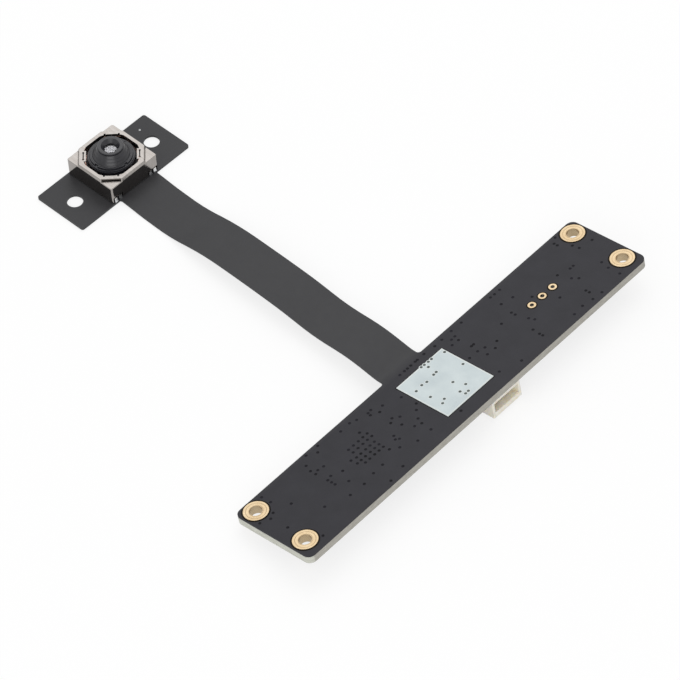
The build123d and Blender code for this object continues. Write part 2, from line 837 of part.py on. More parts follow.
with BuildPart() as chip_resistors:
    chip_bodies(chip_kinds[1])
save(chip_resistors, "chip_resistors")

with BuildPart() as chip_terminals:
    for spots, width, length, height in chip_kinds:
        end = length * end_share
        wrap = width + 2 * end_wrap
        for x, y, along in spots:
            for side in (-1, 1):
                shift = side * (length - end) / 2
                if along:
                    block(x, y + shift, wrap, end, height + end_wrap)
                else:
                    block(x + shift, y, end, wrap, height + end_wrap)
save(chip_terminals, "chip_terminals")
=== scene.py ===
# %% [markdown]
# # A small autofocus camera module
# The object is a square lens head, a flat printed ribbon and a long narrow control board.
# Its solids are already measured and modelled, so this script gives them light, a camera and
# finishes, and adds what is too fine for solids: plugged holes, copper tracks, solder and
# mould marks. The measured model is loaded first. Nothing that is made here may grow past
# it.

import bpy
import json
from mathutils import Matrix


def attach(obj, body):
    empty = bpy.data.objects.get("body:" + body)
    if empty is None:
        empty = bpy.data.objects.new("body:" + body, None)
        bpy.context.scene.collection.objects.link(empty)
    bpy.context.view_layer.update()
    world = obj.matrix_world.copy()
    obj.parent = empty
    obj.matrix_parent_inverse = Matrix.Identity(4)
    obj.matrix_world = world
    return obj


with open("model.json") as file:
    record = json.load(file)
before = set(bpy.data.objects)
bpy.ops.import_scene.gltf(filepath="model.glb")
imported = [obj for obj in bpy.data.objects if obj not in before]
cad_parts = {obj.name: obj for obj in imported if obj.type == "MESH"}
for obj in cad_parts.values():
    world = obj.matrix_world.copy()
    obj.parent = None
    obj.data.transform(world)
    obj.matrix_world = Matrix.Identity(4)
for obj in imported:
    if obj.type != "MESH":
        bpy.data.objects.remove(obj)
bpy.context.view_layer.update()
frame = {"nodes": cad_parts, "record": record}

# %% Modules and the unit
import json
import math

import bpy
from mathutils import Matrix, Vector

MM = 0.001
scene = bpy.context.scene

# %% [markdown]
# ## The camera
# A product photographer stands well back with a long lens, so that parallel edges stay nearly
# parallel. Here the place and the length of the lens were worked out from the four corners of
# the board, the head's holes and the board's holes. The camera is given by its three own
# directions, which leaves no doubt about its roll.

# %% Place the camera
camera_spot = Vector((296.11, -239.204, 406.52)) * MM
camera_right = Vector((0.72387, 0.68826, -0.04803))
camera_up = Vector((-0.50187, 0.57305, 0.64788))
camera_back = Vector((0.47343, -0.44487, 0.76023))
camera_data = bpy.data.cameras.new("product_camera")
camera_data.sensor_width = 36.0
camera_data.lens = 220.46
camera_data.clip_start = 0.01
camera_data.clip_end = 20.0
camera = bpy.data.objects.new("product_camera", camera_data)
scene.collection.objects.link(camera)
turned = Matrix((camera_right, camera_up, camera_back)).transposed()
camera.matrix_world = Matrix.Translation(camera_spot) @ turned.to_4x4()
scene.camera = camera
scene.view_settings.view_transform = "Standard"
print("camera", round(camera_spot.length, 3), "m from the head")

# %% [markdown]
# ## Room and lamps
# The photograph was taken in a white tent. A white world could light everything evenly, but
# then nothing would have a bright or a dark side. So the world gives an even base light, and
# two large soft lamps add direction: one stands high behind the object and lights the top
# faces, and one stands low on the near side and lights the board's edges. What the camera and
# the metals see of the room stays plain white.

# %% The white room
world = bpy.data.worlds.new("white_tent")
scene.world = world
world.use_nodes = True
tent = world.node_tree.nodes
tent.clear()
tent_light = tent.new("ShaderNodeBackground")
tent_light.inputs["Color"].default_value = (1.0, 1.0, 1.0, 1.0)
tent_light.inputs["Strength"].default_value = 0.62
tent_seen = tent.new("ShaderNodeBackground")
tent_seen.inputs["Color"].default_value = (1.0, 1.0, 1.0, 1.0)
tent_seen.inputs["Strength"].default_value = 1.0
tent_mix = tent.new("ShaderNodeMixShader")
tent_out = tent.new("ShaderNodeOutputWorld")
ray = tent.new("ShaderNodeLightPath")
either = tent.new("ShaderNodeMath")
either.operation = "MAXIMUM"
any_seen = tent.new("ShaderNodeMath")
any_seen.operation = "MAXIMUM"
wires = world.node_tree.links
wires.new(ray.outputs["Is Camera Ray"], either.inputs[0])
wires.new(ray.outputs["Is Glossy Ray"], either.inputs[1])
wires.new(either.outputs[0], any_seen.inputs[0])
wires.new(ray.outputs["Is Transmission Ray"], any_seen.inputs[1])
wires.new(any_seen.outputs[0], tent_mix.inputs["Fac"])
wires.new(tent_light.outputs[0], tent_mix.inputs[1])
wires.new(tent_seen.outputs[0], tent_mix.inputs[2])
wires.new(tent_mix.outputs[0], tent_out.inputs["Surface"])


# %% The lamps
def soft_lamp(name, spot, aim, side, power):
    """A square lamp at spot, turned to aim, with its side in metres."""
    lamp_data = bpy.data.lights.new(name, "AREA")
    lamp_data.shape = "SQUARE"
    lamp_data.size = side
    lamp_data.energy = power
    lamp = bpy.data.objects.new(name, lamp_data)
    scene.collection.objects.link(lamp)
    lamp.location = spot
    lamp.rotation_euler = (Vector(aim) - Vector(spot)).to_track_quat("-Z", "Y").to_euler()
    return lamp


middle = Vector((0.03, 0.0, 0.0))
soft_lamp("back_lamp", (-0.16, 0.26, 0.42), middle, 0.46, 0.75)
soft_lamp("near_fill", (0.3, -0.34, 0.11), middle, 0.36, 0.75)

# %% [markdown]
# ## The table top
# The part lies on a white sheet. The sheet has to stay white for the camera and for what
# mirrors in the metal, but it should also keep the soft shadow that shows the part lying on
# it. So for those rays most of its colour is its own light, and the rest is lit as paper is.

# %% The white sheet
bpy.ops.mesh.primitive_plane_add(size=6.0, location=(0.0, 0.0, -0.01 * MM))  # a hair below the part
table_top = bpy.context.active_object
table_top.name = "table_top"
paper = bpy.data.materials.new("white_paper")
paper.use_nodes = True
page = paper.node_tree.nodes
page.clear()
page_ray = page.new("ShaderNodeLightPath")
page_lit = page.new("ShaderNodeBsdfDiffuse")
page_lit.inputs["Color"].default_value = (0.86, 0.86, 0.86, 1.0)
page_glow = page.new("ShaderNodeEmission")
page_glow.inputs["Strength"].default_value = 1.1
page_seen = page.new("ShaderNodeMath")
page_seen.operation = "MAXIMUM"
page_both = page.new("ShaderNodeMath")
page_both.operation = "MAXIMUM"
page_share = page.new("ShaderNodeMath")
page_share.operation = "MULTIPLY"
page_share.inputs[1].default_value = 0.7
page_mix = page.new("ShaderNodeMixShader")
page_out = page.new("ShaderNodeOutputMaterial")
wires = paper.node_tree.links
wires.new(page_ray.outputs["Is Camera Ray"], page_seen.inputs[0])
wires.new(page_ray.outputs["Is Glossy Ray"], page_seen.inputs[1])
wires.new(page_seen.outputs[0], page_both.inputs[0])
wires.new(page_ray.outputs["Is Transmission Ray"], page_both.inputs[1])
wires.new(page_both.outputs[0], page_share.inputs[0])
wires.new(page_share.outputs[0], page_mix.inputs["Fac"])
wires.new(page_lit.outputs[0], page_mix.inputs[1])
wires.new(page_glow.outputs[0], page_mix.inputs[2])
wires.new(page_mix.outputs[0], page_out.inputs["Surface"])
table_top.data.materials.append(paper)

# %% [markdown]
# ## The board's own directions
# The board lies a little tilted on its connector, so its edges run along none of the room's
# axes. Its screw holes are stated in the model's record with their places and direction, and
# they give the board's own frame: across, along and up. Every detail on the board is placed
# in millimetres in that frame.

# %% Read the board's frame from its screw holes
mounts = {m["name"]: m for m in frame["record"]["mounts"]}
near_holes = Vector(mounts["board_screws_near"]["pos_m"])
far_holes = Vector(mounts["board_screws_far"]["pos_m"])
board_up = Vector(mounts["board_screws_near"]["axis"]).normalized()
board_along = (far_holes - near_holes).normalized()
board_across = board_along.cross(board_up).normalized()
HOLES_X, HOLES_Y = -0.4, 0.08
HOLE_HALF_X = 4.25
PADS_X, PADS_Y = -0.18, 18.98
THICK = 1.2
board_middle = ((near_holes + far_holes) / 2 - board_across * HOLES_X * MM
                - board_along * HOLES_Y * MM + board_up * THICK / 2 * MM)
board_turn = Matrix((board_across, board_along, board_up)).transposed()
board_place = Matrix.Translation(board_middle) @ board_turn.to_4x4()
hole_half_y = (far_holes - near_holes).length / 2 / MM
print("board tilt", round(math.degrees(board_up.angle(Vector((0, 0, 1)))), 2), "degrees")

# %% [markdown]
# ## Tools for the finishes
# Each finish is a Principled shader whose colour, roughness and small bumps come from noise
# of the right size. The noise is the same for many finishes, so it is built once as a node
# group with named inputs, and each finish sets its own values on it.

# %% Small helpers for shader nodes
def new_finish(name):
    """A material with an empty Principled shader. Returns it, its tree, links and shader."""
    material = bpy.data.materials.new(name)
    material.use_nodes = True
    tree = material.node_tree
    return material, tree, tree.links, tree.nodes["Principled BSDF"]


def math_node(tree, kind, first, second=None, clamp=False):
    """A Math node; each input is a number or another node's output."""
    node = tree.nodes.new("ShaderNodeMath")
    node.operation = kind
    node.use_clamp = clamp
    for i, value in enumerate((first, second)):
        if value is None:
            continue
        if isinstance(value, (int, float)):
            node.inputs[i].default_value = value
        else:
            tree.links.new(value, node.inputs[i])
    return node.outputs[0]


def blend_colours(tree, share, dark, light):
    """A mix of two colours by a share that changes over the surface."""
    node = tree.nodes.new("ShaderNodeMix")
    node.data_type = "RGBA"
    for socket_name, value in (("Factor", share), ("A", dark), ("B", light)):
        socket = node.inputs[socket_name]
        if isinstance(value, (tuple, list)):
            socket.default_value = (*value[:3], 1.0)
        elif isinstance(value, (int, float)):
            socket.default_value = value
        else:
            tree.links.new(value, socket)
    return node.outputs["Result"]


def room_place(tree):
    """Object coordinates in metres: every object here lies at the origin."""
    return tree.nodes.new("ShaderNodeTexCoord").outputs["Object"]


def board_mm(tree):
    """Object coordinates turned into the board's frame, in millimetres."""
    mapping = tree.nodes.new("ShaderNodeMapping")
    mapping.vector_type = "TEXTURE"
    mapping.inputs["Location"].default_value = board_middle
    mapping.inputs["Rotation"].default_value = board_turn.to_euler("XYZ")
    mapping.inputs["Scale"].default_value = (MM, MM, MM)
    tree.links.new(room_place(tree), mapping.inputs["Vector"])
    return mapping.outputs["Vector"]


def parts_of(tree, vector):
    """The X, Y and Z outputs of a vector."""
    node = tree.nodes.new("ShaderNodeSeparateXYZ")
    tree.links.new(vector, node.inputs[0])
    return node.outputs


# %% The shared noise: a fine grain and slow patches
grain_group = bpy.data.node_groups.new("grain_and_patches", "ShaderNodeTree")
for socket_name, kind in (("Vector", "NodeSocketVector"), ("Grain per unit", "NodeSocketFloat"),
                          ("Patches per unit", "NodeSocketFloat"), ("Stretch", "NodeSocketVector")):
    grain_group.interface.new_socket(name=socket_name, in_out="INPUT", socket_type=kind)
for socket_name in ("Grain", "Patches"):
    grain_group.interface.new_socket(name=socket_name, in_out="OUTPUT", socket_type="NodeSocketFloat")
group_in = grain_group.nodes.new("NodeGroupInput")
group_out = grain_group.nodes.new("NodeGroupOutput")
stretched = grain_group.nodes.new("ShaderNodeVectorMath")
stretched.operation = "MULTIPLY"
grain_group.links.new(group_in.outputs["Vector"], stretched.inputs[0])
grain_group.links.new(group_in.outputs["Stretch"], stretched.inputs[1])
for output_name, scale_name, detail, contrast in (("Grain", "Grain per unit", 2.0, (0.3, 0.7)),
                                                  ("Patches", "Patches per unit", 3.0, (0.32, 0.68))):
    noise = grain_group.nodes.new("ShaderNodeTexNoise")
    noise.inputs["Detail"].default_value = detail
    spread = grain_group.nodes.new("ShaderNodeMapRange")
    spread.inputs["From Min"].default_value = contrast[0]
    spread.inputs["From Max"].default_value = contrast[1]
    grain_group.links.new(stretched.outputs[0], noise.inputs["Vector"])
    grain_group.links.new(group_in.outputs[scale_name], noise.inputs["Scale"])
    grain_group.links.new(noise.outputs["Fac"], spread.inputs["Value"])
    grain_group.links.new(spread.outputs["Result"], group_out.inputs[output_name])


def noise_of(tree, vector, grain, patches, stretch=(1.0, 1.0, 1.0)):
    """Place the shared noise in a material; returns its fine and its slow mask."""
    node = tree.nodes.new("ShaderNodeGroup")
    node.node_tree = grain_group
    tree.links.new(vector, node.inputs["Vector"])
    node.inputs["Grain per unit"].default_value = grain
    node.inputs["Patches per unit"].default_value = patches
    node.inputs["Stretch"].default_value = stretch
    return node.outputs["Grain"], node.outputs["Patches"]


def add_bump(tree, shader, height, distance, strength=1.0):
    """Feed a height through a Bump node into the shader's normal."""
    bump = tree.nodes.new("ShaderNodeBump")
    bump.inputs["Strength"].default_value = strength
    bump.inputs["Distance"].default_value = distance
    tree.links.new(height, bump.inputs["Height"])
    tree.links.new(bump.outputs["Normal"], shader.inputs["Normal"])
    return bump


def between(tree, mask, low, high):
    """A value that runs from low to high as the mask runs from 0 to 1."""
    node = tree.nodes.new("ShaderNodeMapRange")
    node.inputs["To Min"].default_value = low
    node.inputs["To Max"].default_value = high
    tree.links.new(mask, node.inputs["Value"])
    return node.outputs["Result"]


print("shared groups:", [g.name for g in bpy.data.node_groups])


# %% [markdown]
# ## Plain finishes
# Many small pieces differ only in colour, gloss and the size of their grain: moulded black
# resin, tinned leads, ceramic, ferrite, nylon. One function makes them all from a few numbers,
# because they are the same kind of surface, and each keeps its own speckle and sheen.

# %% One function for the plain finishes
def plain_finish(name, dark, light, rough, grain=9000.0, bump=4e-6, metal=0.0, patches=900.0,
                 stretch=(1.0, 1.0, 1.0), specular=0.5, coat=0.0):
    """A finish with two close tones, a range of roughness and a grain of small bumps."""
    material, tree, links, shader = new_finish(name)
    fine, slow = noise_of(tree, room_place(tree), grain, patches, stretch)
    links.new(blend_colours(tree, slow, dark, light), shader.inputs["Base Color"])
    links.new(between(tree, fine, rough[0], rough[1]), shader.inputs["Roughness"])
    shader.inputs["Metallic"].default_value = metal
    shader.inputs["Specular IOR Level"].default_value = specular
    shader.inputs["Coat Weight"].default_value = coat
    add_bump(tree, shader, fine, bump)
    return material


black_resin = plain_finish("black_resin", (0.012, 0.012, 0.013), (0.022, 0.022, 0.024), (0.42, 0.6))
chip_resin = plain_finish("chip_resin", (0.018, 0.018, 0.019), (0.03, 0.03, 0.032), (0.5, 0.68), bump=6e-6)
tin_plate = plain_finish("tin_plate", (0.6, 0.6, 0.58), (0.72, 0.72, 0.7), (0.22, 0.38), metal=1.0, bump=2e-6)
solder = plain_finish("solder", (0.55, 0.56, 0.57), (0.72, 0.73, 0.74), (0.14, 0.34), 4000.0, 8e-6, 1.0)
ceramic_tan = plain_finish("ceramic_tan", (0.3, 0.2, 0.12), (0.42, 0.3, 0.19), (0.35, 0.5))
resistor_glaze = plain_finish("resistor_glaze", (0.014, 0.014, 0.016), (0.03, 0.03, 0.033), (0.15, 0.3),
                              coat=0.4)
ferrite = plain_finish("ferrite", (0.07, 0.07, 0.072), (0.12, 0.12, 0.125), (0.5, 0.75), 5000.0, 1e-5)
magnet_plate = plain_finish("magnet_plate", (0.5, 0.49, 0.47), (0.62, 0.61, 0.58), (0.18, 0.3), metal=1.0)
spring_copper = plain_finish("spring_copper", (0.58, 0.36, 0.29), (0.74, 0.49, 0.41), (0.2, 0.35), metal=1.0)
coil_wire = plain_finish("coil_wire", (0.42, 0.13, 0.06), (0.62, 0.25, 0.12), (0.2, 0.4), 2500.0, 2e-5, 1.0,
                         stretch=(0.2, 0.2, 14.0))
contact_plate = plain_finish("contact_plate", (0.7, 0.58, 0.32), (0.85, 0.74, 0.46), (0.15, 0.3), metal=1.0)
crystal_lid = plain_finish("crystal_lid", (0.58, 0.56, 0.5), (0.7, 0.68, 0.62), (0.2, 0.4), metal=1.0)
silicon = plain_finish("silicon", (0.02, 0.03, 0.05), (0.06, 0.04, 0.09), (0.05, 0.12), patches=400.0,
                       coat=0.6)
print("plain finishes:", len(bpy.data.materials))

# %% [markdown]
# ## Bright nickel can
# The can is drawn from thin sheet. Its top keeps the fine brushing of the sheet, so it looks
# even and light. Its walls were burnished by the die, so they mirror the dark film beside
# them. One material can do both, if the roughness follows the direction of the face.

# %% The can's finish
can_nickel, tree, links, shader = new_finish("can_nickel")
fine, slow = noise_of(tree, room_place(tree), 6000.0, 500.0, (1.0, 12.0, 1.0))
facing = parts_of(tree, tree.nodes.new("ShaderNodeNewGeometry").outputs["Normal"])["Z"]
links.new(blend_colours(tree, slow, (0.29, 0.268, 0.25), (0.345, 0.325, 0.308)), shader.inputs["Base Color"])
roughness = math_node(tree, "MULTIPLY", math_node(tree, "MAXIMUM", facing, 0.0), 0.2)
links.new(math_node(tree, "ADD", roughness, between(tree, fine, 0.05, 0.11)), shader.inputs["Roughness"])
shader.inputs["Metallic"].default_value = 1.0
add_bump(tree, shader, fine, 1.2e-6)

# %% [markdown]
# ## The film: tab, ribbon and the board's top ply
# The dark cover film runs in one piece from the tab over the ribbon to the board, where a
# solder mask lies on it instead. The film is neutral grey and satin, with the faint parallel
# ridges of the copper tracks inside. The mask is bluer, darker and glossier, with a soft orange
# peel. The two are mixed by the place along the board's own X axis.

# %% The film's finish
cover_film, tree, links, shader = new_finish("cover_film")
here = board_mm(tree)
board_x, board_y, board_z = parts_of(tree, here)
on_mask = tree.nodes.new("ShaderNodeMapRange")
on_mask.inputs["From Min"].default_value = -7.4
on_mask.inputs["From Max"].default_value = -5.9
links.new(board_x, on_mask.inputs["Value"])
on_mask = on_mask.outputs["Result"]
fine, slow = noise_of(tree, here, 7.0, 0.35)
film_colour = blend_colours(tree, slow, (0.038, 0.038, 0.041), (0.05, 0.05, 0.053))
mask_colour = blend_colours(tree, slow, (0.016, 0.0155, 0.021), (0.021, 0.0205, 0.027))
shader.inputs["Specular IOR Level"].default_value = 0.22
links.new(blend_colours(tree, on_mask, film_colour, mask_colour), shader.inputs["Base Color"])
film_rough = between(tree, slow, 0.4, 0.52)
mask_rough = between(tree, fine, 0.36, 0.46)
rough_mix = tree.nodes.new("ShaderNodeMix")
links.new(on_mask, rough_mix.inputs["Factor"])
links.new(film_rough, rough_mix.inputs["A"])
links.new(mask_rough, rough_mix.inputs["B"])
links.new(rough_mix.outputs["Result"], shader.inputs["Roughness"])
TRACK_PITCH = 0.32
tracks = math_node(tree, "SINE", math_node(tree, "MULTIPLY", board_y, 2 * math.pi / TRACK_PITCH))
tracks = math_node(tree, "MULTIPLY", tracks, math_node(tree, "SUBTRACT", 1.0, on_mask))
height = math_node(tree, "ADD", math_node(tree, "MULTIPLY", tracks, 0.25), fine)
add_bump(tree, shader, height, 3e-6)

# %% [markdown]
# ## The laminate under the film
# The board's core is glass cloth in resin, cut by a router. On its edges the cut fibres show as
# fine pale lines along the edge, and its underside has the same dark mask as the top. The
# height in the board's frame tells the edge from the underside. The near end's edge is painted
# paler than the long edges: painted light, where the low lamp falls on it.

# %% The laminate's finish
laminate, tree, links, shader = new_finish("glass_laminate")
here = board_mm(tree)
board_x, board_y, board_z = parts_of(tree, here)
fine, slow = noise_of(tree, here, 3.0, 0.6, (1.0, 1.0, 9.0))
long_edge = blend_colours(tree, slow, (0.3, 0.28, 0.245), (0.42, 0.4, 0.36))
# Painted light: the near end's edge gets a paler colour than the long edges, standing in for the low lamp's
# light on it; its place along the board picks it.
end_edge_painted_light = blend_colours(tree, slow, (0.46, 0.46, 0.4), (0.66, 0.67, 0.6))
painted_light_end_mask = math_node(tree, "LESS_THAN", board_y, -31.2)
edge_colour = blend_colours(tree, painted_light_end_mask, long_edge, end_edge_painted_light)
edge_colour = blend_colours(tree, math_node(tree, "MULTIPLY", fine, 0.5), edge_colour, (0.6, 0.6, 0.53))
at_under = math_node(tree, "LESS_THAN", board_z, -THICK + 0.012)
links.new(blend_colours(tree, at_under, edge_colour, (0.018, 0.018, 0.021)), shader.inputs["Base Color"])
links.new(between(tree, at_under, 0.7, 0.36), shader.inputs["Roughness"])
add_bump(tree, shader, fine, 8e-6)

# %% [markdown]
# ## Gold rings round the holes
# The rings are plated with gold over nickel. A fine darker circle shows where the plating of
# the hole's sleeve meets the flat ring. Four holes share one piece, so the place is folded
# about the middle of the pattern, which puts all four on one hole, and the distance from that
# hole's axis draws the circle.

# %% The gold finishes
def gold_finish(name, fold_x, fold_y, half_x, half_y, circles):
    """Gold plate with fine circles at the given radii, in millimetres, round each hole."""
    material, tree, links, shader = new_finish(name)
    x, y, z = parts_of(tree, board_mm(tree))
    side_x = math_node(tree, "ABSOLUTE", math_node(tree, "SUBTRACT", x, fold_x))
    side_x = math_node(tree, "SUBTRACT", side_x, half_x)
    side_y = math_node(tree, "ABSOLUTE", math_node(tree, "SUBTRACT", y, fold_y))
    side_y = math_node(tree, "SUBTRACT", side_y, half_y)
    joined = tree.nodes.new("ShaderNodeCombineXYZ")
    links.new(side_x, joined.inputs["X"])
    links.new(side_y, joined.inputs["Y"])
    length = tree.nodes.new("ShaderNodeVectorMath")
    length.operation = "LENGTH"
    links.new(joined.outputs[0], length.inputs[0])
    radius = length.outputs["Value"]
    line = None
    for circle, width in circles:
        away = math_node(tree, "ABSOLUTE", math_node(tree, "SUBTRACT", radius, circle))
        near = math_node(tree, "SUBTRACT", 1.0, math_node(tree, "DIVIDE", away, width), clamp=True)
        line = near if line is None else math_node(tree, "MAXIMUM", line, near)
    fine, slow = noise_of(tree, room_place(tree), 7000.0, 700.0)
    plate = blend_colours(tree, slow, (0.44, 0.332, 0.2), (0.5, 0.395, 0.255))
    links.new(blend_colours(tree, math_node(tree, "MULTIPLY", line, 0.5), plate, (0.24, 0.15, 0.07)),
              shader.inputs["Base Color"])
    links.new(between(tree, fine, 0.2, 0.34), shader.inputs["Roughness"])
    shader.inputs["Metallic"].default_value = 1.0
    add_bump(tree, shader, math_node(tree, "SUBTRACT", fine, math_node(tree, "MULTIPLY", line, 3.0)), 3e-6)
    return material


ring_gold = gold_finish("ring_gold", HOLES_X, HOLES_Y, HOLE_HALF_X, hole_half_y,
                        ((1.33, 0.07), (0.92, 0.06)))
pad_gold = gold_finish("pad_gold", PADS_X, PADS_Y, 0.0, 0.0, ((0.3, 0.02),))

# %% [markdown]
# ## White print, nylon and glass
# The white field on the board is a thick ink, a little bluish, with a fine pebble. The
# connector is ivory nylon, which lets a little light in, so it gets some subsurface light.
# The lens glass is coated, which a clear coat over the glass gives.

# %% Ink, nylon and glass
ink_white = plain_finish("ink_white", (0.62, 0.7, 0.72), (0.72, 0.8, 0.81), (0.5, 0.65), 5000.0, 6e-6,
                         patches=300.0)
nylon_ivory = plain_finish("nylon_ivory", (0.86, 0.8, 0.68), (0.93, 0.89, 0.8), (0.35, 0.5), 3000.0, 5e-6)
nylon_shader = nylon_ivory.node_tree.nodes["Principled BSDF"]
nylon_shader.inputs["Subsurface Weight"].default_value = 0.35
nylon_shader.inputs["Subsurface Radius"].default_value = (1.0, 0.8, 0.5)
nylon_shader.inputs["Subsurface Scale"].default_value = 0.0006

lens_glass, tree, links, shader = new_finish("lens_glass")
fine, slow = noise_of(tree, room_place(tree), 2000.0, 200.0)
links.new(blend_colours(tree, slow, (0.93, 0.93, 0.98), (0.97, 0.97, 1.0)), shader.inputs["Base Color"])
links.new(between(tree, fine, 0.0, 0.02), shader.inputs["Roughness"])
shader.inputs["Transmission Weight"].default_value = 1.0
shader.inputs["IOR"].default_value = 1.62
shader.inputs["Coat Weight"].default_value = 0.5

filter_glass, tree, links, shader = new_finish("filter_glass")
fine, slow = noise_of(tree, room_place(tree), 2000.0, 300.0)
links.new(blend_colours(tree, slow, (0.7, 0.95, 0.95), (0.75, 0.98, 1.0)), shader.inputs["Base Color"])
shader.inputs["Roughness"].default_value = 0.02
shader.inputs["Transmission Weight"].default_value = 1.0
shader.inputs["IOR"].default_value = 1.5

# %% [markdown]
# ## The barrel
# The barrel is moulded in black resin. Fine turned ridges run round its cone and keep stray
# light down, and the front ring is smoother. Modelled ridges would cost many faces, so they are
# bumps: a sine of the distance from the lens axis, kept to the cone by that distance and by
# the height.

# %% The barrel's finish
barrel_resin, tree, links, shader = new_finish("barrel_resin")
x, y, z = parts_of(tree, room_place(tree))
fine, slow = noise_of(tree, room_place(tree), 16000.0, 1500.0)
links.new(blend_colours(tree, slow, (0.009, 0.009, 0.0125), (0.02, 0.02, 0.025)), shader.inputs["Base Color"])
front_ring = math_node(tree, "GREATER_THAN", z, 5.1 * MM)
links.new(between(tree, front_ring, 0.3, 0.26), shader.inputs["Roughness"])
flat_place = tree.nodes.new("ShaderNodeCombineXYZ")
links.new(x, flat_place.inputs["X"])
links.new(y, flat_place.inputs["Y"])
from_axis = tree.nodes.new("ShaderNodeVectorMath")
from_axis.operation = "LENGTH"
links.new(flat_place.outputs[0], from_axis.inputs[0])
RIDGE_PITCH = 0.24 * MM
turning = math_node(tree, "MULTIPLY", from_axis.outputs["Value"], 2 * math.pi / RIDGE_PITCH)
turning = math_node(tree, "SINE", turning)
turning = math_node(tree, "POWER", math_node(tree, "MAXIMUM", turning, 0.0), 3.0)
on_cone = math_node(tree, "MULTIPLY", math_node(tree, "GREATER_THAN", from_axis.outputs["Value"], 1.85 * MM),
                    math_node(tree, "SUBTRACT", 1.0, front_ring))
ridges = math_node(tree, "MULTIPLY", turning, on_cone)
add_bump(tree, shader, math_node(tree, "ADD", math_node(tree, "MULTIPLY", fine, 0.12), ridges), 1.6e-5)

# %% [markdown]
# ## Give each measured piece its finish
# The pieces keep their own meshes. Only the material in their slots changes.

# %% Assign the finishes
finishes = {
    "flex_circuit": cover_film, "back_stiffener": chip_resin, "main_board": laminate,
    "mounting_rings": ring_gold, "test_pads": pad_gold, "label_patch": ink_white,
    "image_sensor": silicon, "ir_filter": filter_glass, "actuator_base": black_resin,
    "actuator_terminals": tin_plate, "terminal_solder": solder, "lower_spring": spring_copper,
    "upper_spring": spring_copper, "corner_magnets": magnet_plate, "spring_clamp": black_resin,
    "lens_carrier": black_resin, "voice_coil": coil_wire, "lens_barrel": barrel_resin,
    "front_lens": lens_glass, "middle_lens": lens_glass, "rear_lens": lens_glass,
    "lens_spacers": black_resin, "shield_can": can_nickel, "connector_housing": nylon_ivory,
    "connector_contacts": contact_plate, "connector_tabs": tin_plate, "bridge_chip": chip_resin,
    "bridge_pads": solder, "flash_chip": chip_resin, "flash_leads": tin_plate,
    "regulators": chip_resin, "regulator_leads": tin_plate, "crystal": crystal_lid,
    "power_inductor": ferrite, "package_pads": solder, "chip_capacitors": ceramic_tan,
    "chip_resistors": resistor_glaze, "chip_terminals": solder,
}
for node_name, node_object in frame["nodes"].items():
    material = finishes.get(node_name)
    if material is None:
        print("no finish for", node_name)
        continue
    if not node_object.material_slots:
        node_object.data.materials.append(material)
    for node_slot in node_object.material_slots:
        node_slot.material = material
print("finished nodes:", len(finishes))

# %% [markdown]
# ## Tools for modelling
# The fine pieces are shaped in edit mode, one operator after another. An operator works on
# everything that is selected, so each piece starts from an empty selection. What repeats is
# modelled once at the origin; its copies have their own meshes, are laid in place and joined.

# %% Selecting, finishing and copying pieces
def only(piece):
    """Select one object alone."""
    bpy.ops.object.select_all(action="DESELECT")
    piece.select_set(True)
    bpy.context.view_layer.objects.active = piece


def close_piece(piece):
    """Leave edit mode with every normal pointing outwards."""
    bpy.ops.mesh.select_all(action="SELECT")
    bpy.ops.mesh.normals_make_consistent(inside=False)
    bpy.ops.object.mode_set(mode="OBJECT")
    only(piece)
    bpy.ops.object.shade_smooth_by_angle(angle=math.radians(35))


def give_finish(piece, name, finish, body="module"):
    """Name a piece, give it one material and the body that it rides on."""
    piece.name = name
    piece.data.name = name
    piece.data.materials.clear()
    piece.data.materials.append(finish)
    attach(piece, body)
    return piece


def lay_copies(model, name, places, finish, body="module"):
    """Copy one modelled piece to many places and join the copies."""
    bpy.ops.object.select_all(action="DESELECT")
    for place in places:
        mesh = model.data.copy()
        mesh.transform(place)
        copy = bpy.data.objects.new(name, mesh)
        scene.collection.objects.link(copy)
        copy.select_set(True)
        bpy.context.view_layer.objects.active = copy
    bpy.ops.object.join()
    joined = bpy.context.active_object
    bpy.data.objects.remove(model)
    print(name, "copies:", len(places), "faces:", len(joined.data.polygons))
    return give_finish(joined, name, finish, body)


def top_place(x, y, z=0.0):
    """The matrix that lays a piece on the board's top, in millimetres."""
    return board_place @ Matrix.Translation((x * MM, y * MM, z * MM))


def under_place(x, y, z=0.0, turn=0.0):
    """The matrix that hangs a piece on the board's underside, turned about its own axis."""
    flip = Matrix.Rotation(math.pi, 4, "X")
    return top_place(x, y, -THICK - z) @ flip @ Matrix.Rotation(turn, 4, "Z")


# %% [markdown]
# ## Where the soldered pieces stand
# One node holds many loose solids, such as all the chip capacitors. Triangles that share a
# corner belong to one solid, so the solids are told apart by following shared corners. Their
# boxes, in board millimetres, say where solder, prints and tracks may go.

# %% Boxes of the separate solids
from_room = board_place.inverted()


def solid_boxes(node_name):
    """The lowest and highest corner of each solid in a node, in board millimetres."""
    mesh = frame["nodes"][node_name].data
    leader = {}

    def lead(key):
        while leader[key] != key:
            leader[key] = leader[leader[key]]
            key = leader[key]
        return key

    keys = [tuple(round(value * 1e7) for value in vertex.co) for vertex in mesh.vertices]
    for key in keys:
        leader.setdefault(key, key)
    for face in mesh.polygons:
        first = lead(keys[face.vertices[0]])
        for corner in face.vertices[1:]:
            leader[lead(keys[corner])] = first
    groups = {}
    for key, vertex in zip(keys, mesh.vertices):
        groups.setdefault(lead(key), []).append(from_room @ vertex.co / MM)
    return [(Vector([min(p[i] for p in group) for i in range(3)]),
             Vector([max(p[i] for p in group) for i in range(3)])) for group in groups.values()]


UNDER_NODES = ("bridge_chip", "flash_chip", "regulators", "crystal", "power_inductor", "connector_housing",
               "chip_capacitors", "chip_resistors", "chip_terminals", "flash_leads", "regulator_leads",
               "package_pads", "connector_tabs", "connector_contacts", "mounting_rings")
under_boxes = {name: solid_boxes(name) for name in UNDER_NODES}
print("solids below:", {name: len(boxes) for name, boxes in under_boxes.items()})


